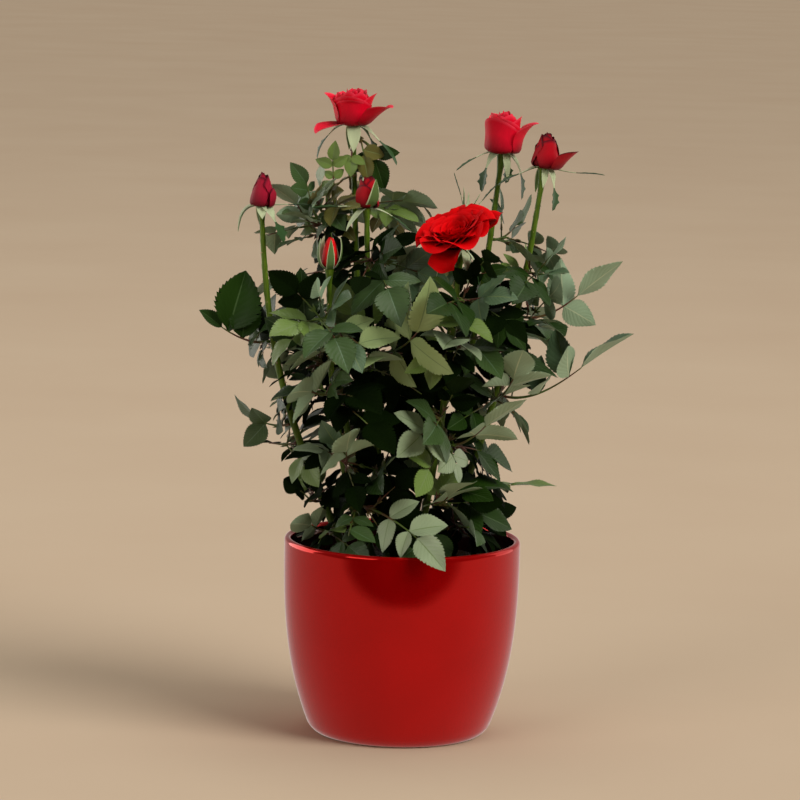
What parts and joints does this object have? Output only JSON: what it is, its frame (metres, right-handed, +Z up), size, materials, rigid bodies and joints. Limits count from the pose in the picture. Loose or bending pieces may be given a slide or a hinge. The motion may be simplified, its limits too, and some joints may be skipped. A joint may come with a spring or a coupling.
{
  "type": "potted miniature rose bush",
  "caption": "Upright bush with thin green canes, compound leaves and red double blooms, standing in a round glossy red pot.",
  "frame": {"origin": "centre of the pot's flat underside", "axes": "+Z up, -Y the front that the large open bloom faces, +X to the right seen from the front"},
  "size_m": [0.2748, 0.2086, 0.4113],
  "materials": {
    "pot_glaze": "glossy red glaze",
    "potting_soil": "moist, crumbly",
    "green_stem": "satin, slightly waxy",
    "red_petal": "velvety",
    "rose_leaf": "satin"
  },
  "bodies": {
    "root": {"pot": "pot_glaze", "root_ball": "potting_soil", "bloom_top_left": "red_petal", "bloom_top_right": "red_petal", "bloom_right": "red_petal", "bloom_front": "red_petal", "bud_left": "red_petal", "bud_centre": "red_petal", "bud_front_left": "red_petal", "bud_spent": "red_petal", "cane_left": "green_stem", "cane_front_left": "green_stem", "cane_centre": "green_stem", "cane_back_left": "green_stem", "cane_front": "green_stem", "cane_back_right": "green_stem", "cane_right": "green_stem", "cane_spent": "green_stem", "cane_young": "green_stem", "foliage_left_arch": "rose_leaf", "foliage_left_shoulder": "rose_leaf", "foliage_left_upright": "rose_leaf", "foliage_left_big": "rose_leaf", "foliage_left_outer": "rose_leaf", "foliage_left_lower": "rose_leaf", "foliage_left_foot": "rose_leaf", "foliage_left_back": "rose_leaf", "foliage_rim_left": "rose_leaf", "foliage_front_left_high": "rose_leaf", "foliage_front_left_mid": "rose_leaf", "foliage_front_left_low": "rose_leaf", "foliage_rim_front": "rose_leaf", "foliage_centre_high": "rose_leaf", "foliage_centre_leaf": "rose_leaf", "foliage_centre_left": "rose_leaf", "foliage_centre_low": "rose_leaf", "foliage_young_top": "rose_leaf", "foliage_young_back": "rose_leaf", "foliage_young_low": "rose_leaf", "foliage_back_left_high": "rose_leaf", "foliage_back_left_mid": "rose_leaf", "foliage_back_left_low": "rose_leaf", "foliage_front_right_face": "rose_leaf", "foliage_front_right_high": "rose_leaf", "foliage_front_right_low": "rose_leaf", "foliage_front_right_low_b": "rose_leaf", "foliage_front_low": "rose_leaf", "foliage_spent_high": "rose_leaf", "foliage_spent_back": "rose_leaf", "foliage_right_face": "rose_leaf", "foliage_back_right_high": "rose_leaf", "foliage_back_right_mid": "rose_leaf", "foliage_back_right_low": "rose_leaf", "foliage_right_upper": "rose_leaf", "foliage_right_high": "rose_leaf", "foliage_right_mid": "rose_leaf", "foliage_right_low": "rose_leaf", "foliage_rim_right": "rose_leaf", "foliage_rim_right_back": "rose_leaf"}
  },
  "joints": []
}
